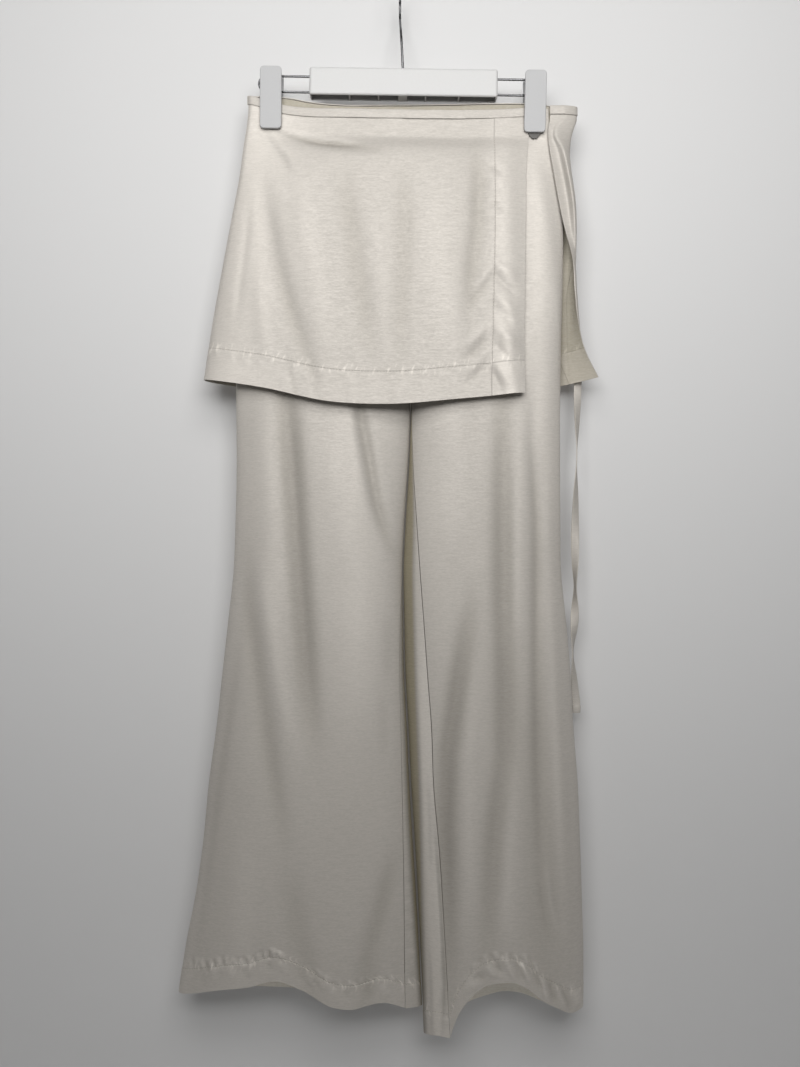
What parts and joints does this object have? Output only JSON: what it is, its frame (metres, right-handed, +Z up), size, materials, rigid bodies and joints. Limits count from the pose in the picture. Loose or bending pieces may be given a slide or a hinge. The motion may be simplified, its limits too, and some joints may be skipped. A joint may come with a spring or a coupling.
{
  "type": "wide-leg trousers with wrap overskirt on a clip hanger",
  "caption": "Wide-leg trousers with a short wrap overskirt and a free flat tie, hanging pressed flat from the two clips of a bar hanger with a wire hook.",
  "frame": {"origin": "where the hook bears on its rail, at the top of the hook's inside", "axes": "+Z up, -Y towards the viewer of the picture, +X to the viewer's right, the wearer's left"},
  "size_m": [0.4695, 0.0679, 1.1757],
  "materials": {
    "satin": "crepe-back satin with a soft sheen and a fine slubby weft",
    "white_plastic": "moulded white plastic",
    "clip_plastic": "moulded pale grey plastic",
    "steel_wire": "bright plated wire",
    "pad_rubber": "soft dark pad"
  },
  "bodies": {
    "root": {"trouser_front_left": "satin", "trouser_front_right": "satin", "trouser_back_left": "satin", "trouser_back_right": "satin", "overskirt_front": "satin", "overskirt_back": "satin", "binding_front": "satin", "binding_back": "satin", "tie": "satin", "tie_end": "satin", "hanger_bar": "white_plastic", "hook": "steel_wire", "rod_left": "steel_wire", "rod_right": "steel_wire", "clip_left_front": "clip_plastic", "clip_left_back": "clip_plastic", "clip_right_front": "clip_plastic", "clip_right_back": "clip_plastic", "pad_left": "pad_rubber", "pad_right": "pad_rubber"}
  },
  "joints": []
}
